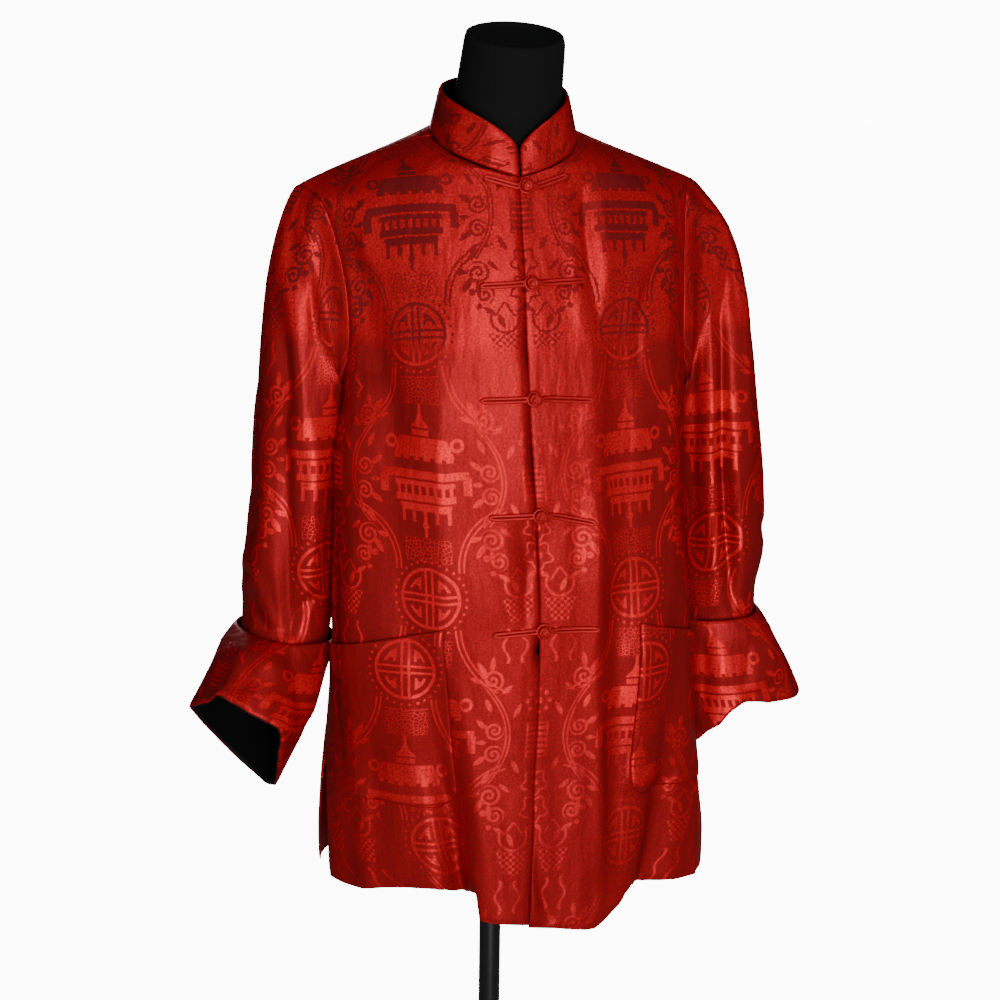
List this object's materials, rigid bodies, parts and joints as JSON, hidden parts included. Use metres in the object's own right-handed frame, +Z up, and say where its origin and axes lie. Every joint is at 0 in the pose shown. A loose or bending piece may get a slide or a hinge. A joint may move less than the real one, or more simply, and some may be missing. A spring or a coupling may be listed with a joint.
{
  "type": "tang jacket on a dress form",
  "caption": "Stand-collared jacket with knotted cord closures, patch pockets, side slits and turned-back cuffs, worn on a limbless dress form on a pole and round base.",
  "frame": {"origin": "on the floor under the pole, at the middle of the base's underside", "axes": "+Z up the pole, the jacket's front faces -Y, its wearer's left is +X"},
  "size_m": [0.6623, 0.3434, 1.5183],
  "materials": {
    "shell_cloth": "red figured silk damask with a soft sheen",
    "cord": "red bias cord, sewn double",
    "lining": "smooth black lining",
    "jersey": "matt black jersey over the form",
    "stand_metal": "satin black painted steel"
  },
  "bodies": {
    "root": {"back": "shell_cloth", "front_left": "shell_cloth", "front_right": "shell_cloth", "sleeve_left": "shell_cloth", "sleeve_right": "shell_cloth", "cuff_left": "shell_cloth", "cuff_right": "shell_cloth", "pocket_left": "shell_cloth", "pocket_right": "shell_cloth", "collar": "shell_cloth", "frog_1_loop": "cord", "frog_1_knot": "cord", "frog_2_loop": "cord", "frog_2_knot": "cord", "frog_3_loop": "cord", "frog_3_knot": "cord", "frog_4_loop": "cord", "frog_4_knot": "cord", "frog_5_loop": "cord", "frog_5_knot": "cord", "collar_lining": "lining", "cuff_lining_left": "lining", "cuff_lining_right": "lining", "dress_form": "jersey", "pole": "stand_metal", "base": "stand_metal"}
  },
  "joints": []
}
